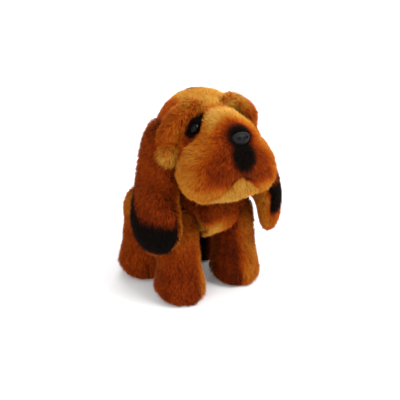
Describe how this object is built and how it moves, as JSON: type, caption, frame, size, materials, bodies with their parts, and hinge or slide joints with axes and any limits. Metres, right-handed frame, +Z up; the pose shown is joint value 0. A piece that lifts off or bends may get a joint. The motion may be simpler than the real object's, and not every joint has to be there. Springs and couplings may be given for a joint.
{
  "type": "plush dog",
  "caption": "Stuffed plush hound puppy that stands on its paws, with a big soft muzzle, brow folds and long hanging ears that swing; head, legs and tail flex.",
  "frame": {"origin": "on the floor, under the middle of the dog's box", "axes": "+Z up; the dog faces -Y and its left side is +X"},
  "size_m": [0.1716, 0.22, 0.2277],
  "materials": {
    "rust_plush": "dense plush pile, airbrushed darker in places",
    "golden_plush": "dense plush pile",
    "black_plush": "dense plush pile",
    "lining_plush": "shorter curly pile",
    "stuffing": "polyester fibre",
    "pellet_cloth": "plain woven cloth",
    "black_plastic": "moulded, glossy",
    "washer_plastic": "moulded, natural"
  },
  "bodies": {
    "torso": {"chest_cover": "rust_plush", "back_cover": "black_plush", "belly_cover": "black_plush", "side_cover_left": "rust_plush", "side_cover_right": "rust_plush", "torso_stuffing": "stuffing", "pellet_bag": "pellet_cloth"},
    "neck": {"neck_stuffing": "stuffing"},
    "head": {"crown_cover": "golden_plush", "chin_cover": "golden_plush", "head_side_cover_left": "rust_plush", "head_side_cover_right": "rust_plush", "muzzle_cover_left": "rust_plush", "muzzle_cover_right": "rust_plush", "head_stuffing": "stuffing", "brow_roll_left": "rust_plush", "brow_roll_right": "rust_plush", "nose": "black_plastic", "nose_washer": "washer_plastic", "eye_left": "black_plastic", "eye_right": "black_plastic", "eye_washer_left": "washer_plastic", "eye_washer_right": "washer_plastic"},
    "ear_left": {"ear_outer_left": "rust_plush", "ear_lining_left": "lining_plush"},
    "ear_right": {"ear_outer_right": "rust_plush", "ear_lining_right": "lining_plush"},
    "tail": {"tail_cover_left": "black_plush", "tail_cover_right": "black_plush", "tail_stuffing": "stuffing"},
    "leg_front_left": {"leg_outer_front_left": "rust_plush", "leg_inner_front_left": "rust_plush", "sole_front_left": "rust_plush", "leg_stuffing_front_left": "stuffing"},
    "leg_front_right": {"leg_outer_front_right": "rust_plush", "leg_inner_front_right": "rust_plush", "sole_front_right": "rust_plush", "leg_stuffing_front_right": "stuffing"},
    "leg_rear_left": {"leg_outer_rear_left": "rust_plush", "leg_inner_rear_left": "rust_plush", "sole_rear_left": "rust_plush", "leg_stuffing_rear_left": "stuffing"},
    "leg_rear_right": {"leg_outer_rear_right": "rust_plush", "leg_inner_rear_right": "rust_plush", "sole_rear_right": "rust_plush", "leg_stuffing_rear_right": "stuffing"}
  },
  "joints": [
    {"name": "neck_turn", "type": "hinge", "parent": "torso", "child": "neck", "pos_m": [0.00176, -0.011, 0.134], "axis": [0, 0, 1], "range_deg": [-7, 23], "stiffness_Nm_per_rad": 0.6},
    {"name": "head_nod", "type": "hinge", "parent": "neck", "child": "head", "pos_m": [0.00176, -0.011, 0.134], "axis": [0.9903, -0.1392, 0], "range_deg": [-12, 6], "stiffness_Nm_per_rad": 1.2},
    {"name": "ear_left_swing", "type": "hinge", "parent": "head", "child": "ear_left", "pos_m": [0.04939, -0.02779, 0.198], "axis": [-0.5878, -0.809, 0], "range_deg": [0, 100]},
    {"name": "ear_right_swing", "type": "hinge", "parent": "head", "child": "ear_right", "pos_m": [-0.04865, -0.01401, 0.198], "axis": [-0.342, 0.9397, 0], "range_deg": [0, 100]},
    {"name": "tail_swing", "type": "hinge", "parent": "torso", "child": "tail", "pos_m": [0.00176, 0.082, 0.106], "axis": [0, 0, 1], "range_deg": [-25, 25], "stiffness_Nm_per_rad": 0.03},
    {"name": "leg_front_left_swing", "type": "hinge", "parent": "torso", "child": "leg_front_left", "pos_m": [0.03976, -0.023, 0.084], "axis": [1, 0, 0], "range_deg": [-12, 3], "stiffness_Nm_per_rad": 0.8},
    {"name": "leg_front_right_swing", "type": "hinge", "parent": "torso", "child": "leg_front_right", "pos_m": [-0.03624, -0.023, 0.084], "axis": [1, 0, 0], "range_deg": [-12, 3], "stiffness_Nm_per_rad": 0.8},
    {"name": "leg_rear_left_swing", "type": "hinge", "parent": "torso", "child": "leg_rear_left", "pos_m": [0.03276, 0.051, 0.08], "axis": [1, 0, 0], "range_deg": [-3, 12], "stiffness_Nm_per_rad": 0.8},
    {"name": "leg_rear_right_swing", "type": "hinge", "parent": "torso", "child": "leg_rear_right", "pos_m": [-0.02924, 0.051, 0.08], "axis": [1, 0, 0], "range_deg": [-3, 12], "stiffness_Nm_per_rad": 0.8}
  ]
}
